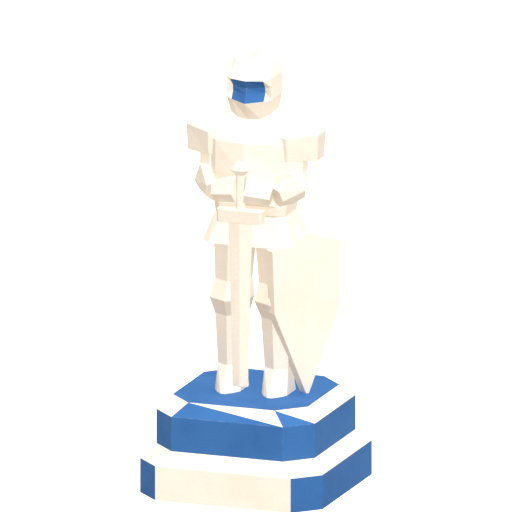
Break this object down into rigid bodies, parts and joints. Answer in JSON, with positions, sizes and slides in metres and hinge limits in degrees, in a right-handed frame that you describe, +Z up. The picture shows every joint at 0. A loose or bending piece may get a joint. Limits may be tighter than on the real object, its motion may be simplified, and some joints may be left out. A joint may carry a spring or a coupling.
{
  "type": "armoured knight statue",
  "caption": "Faceted stone statue of a knight in closed helmet and plate armour, hands on a grounded sword, shield at the side, on a stepped plinth with cut corners.",
  "frame": {"origin": "middle of the plinth's underside, on the floor", "axes": "+Z up the figure, -Y the way the figure faces, +X to the figure's left, where the shield stands"},
  "size_m": [1.01, 1.01, 2.3456],
  "materials": {
    "plinth_lower_step": "matte cream masonry paint, blue on the cut corners and the sides",
    "plinth_upper_step": "matte blue masonry paint, white on the weathering",
    "knight_figure": "matte cream masonry paint, blue inside the visor",
    "sword": "matte cream masonry paint",
    "shield": "matte cream masonry paint"
  },
  "bodies": {
    "root": {"plinth_lower_step": "plinth_lower_step", "plinth_upper_step": "plinth_upper_step", "knight_figure": "knight_figure", "sword": "sword", "shield": "shield"}
  },
  "joints": []
}
